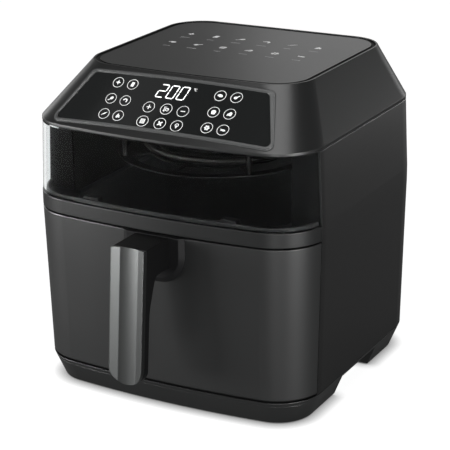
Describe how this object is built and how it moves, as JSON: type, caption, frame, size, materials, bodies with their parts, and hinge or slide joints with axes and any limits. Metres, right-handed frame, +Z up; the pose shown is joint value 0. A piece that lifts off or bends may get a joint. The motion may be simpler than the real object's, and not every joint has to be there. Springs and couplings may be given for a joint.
{
  "type": "air fryer",
  "caption": "Countertop air fryer: rounded box with a sloping touch panel, a pull-out drawer with a wrap-round clear window and a hanging handle, crisper plate, fan and coil heater.",
  "frame": {"origin": "middle of the whole outline, handle included, on the plane the feet rest on", "axes": "-Y to the front where the drawer opens, +X to the right seen from behind the front, +Z up"},
  "size_m": [0.3, 0.342, 0.316],
  "materials": {
    "casing": "satin dark grey",
    "black_plastic": "satin black",
    "grey_plastic": "satin grey",
    "crown_gloss": "smooth satin",
    "control_black": "polished black",
    "clear_window": "clear",
    "sheet_steel": "plain sheet",
    "bright_steel": "turned",
    "nonstick": "non-stick coating",
    "soft_rubber": "moulded",
    "circuit_board": "board"
  },
  "bodies": {
    "housing": {"base_deck": "casing", "bay_frame": "black_plastic", "chamber_liner": "sheet_steel", "control_bezel": "black_plastic", "control_board": "circuit_board", "control_glass": "control_black", "cord_gland": "black_plastic", "crown_gasket": "soft_rubber", "display_module": "control_black", "drawer_rails": "sheet_steel", "exhaust_duct": "black_plastic", "exhaust_grille": "black_plastic", "fan_guard": "sheet_steel", "front_foot": "casing", "heating_element": "bright_steel", "hood": "casing", "hood_floor": "black_plastic", "lamp_holder": "black_plastic", "lamp_lens": "clear_window", "motor": "bright_steel", "motor_bearings": "bright_steel", "motor_bracket": "sheet_steel", "outer_wrap": "casing", "power_board": "circuit_board", "rear_foot": "casing", "rubber_feet": "soft_rubber", "switch_body": "black_plastic", "temperature_probe": "bright_steel", "thermal_cutout": "bright_steel", "top_plate": "crown_gloss"},
    "drawer": {"pan": "nonstick", "front_panel": "casing", "rim_band": "casing", "window": "clear_window", "window_clips": "black_plastic", "rim_deck": "black_plastic", "window_collar": "black_plastic", "drawer_frame": "black_plastic", "handle_escutcheon": "casing", "handle_arm": "black_plastic", "handle_face": "grey_plastic", "handle_bracket": "black_plastic", "handle_screws": "bright_steel"},
    "crisper": {"crisper_plate": "nonstick", "crisper_knob": "nonstick", "crisper_feet": "soft_rubber", "crisper_bumpers": "soft_rubber"},
    "fan_rotor": {"fan_shaft": "bright_steel", "rotor_core": "bright_steel", "hot_air_fan": "sheet_steel", "cooling_fan": "black_plastic", "fan_nut": "bright_steel"},
    "plunger": {"switch_plunger": "black_plastic"}
  },
  "joints": [
    {"name": "drawer_slide", "type": "slide", "parent": "housing", "child": "drawer", "axis": [0, -1, 0], "range_m": [0, 0.185]},
    {"name": "crisper_lift", "type": "slide", "parent": "drawer", "child": "crisper", "axis": [0, 0, 1], "range_m": [0, 0.12]},
    {"name": "fan_spin", "type": "hinge", "parent": "housing", "child": "fan_rotor", "pos_m": [0, 0.017, 0.25], "axis": [0, 0, 1], "continuous": true},
    {"name": "switch_press", "type": "slide", "parent": "housing", "child": "plunger", "axis": [0, -1, 0], "range_m": [0, 0.002]}
  ],
  "couplings": [
    {"joint": "switch_press", "follows": "drawer_slide", "ratio": 0.0108}
  ]
}
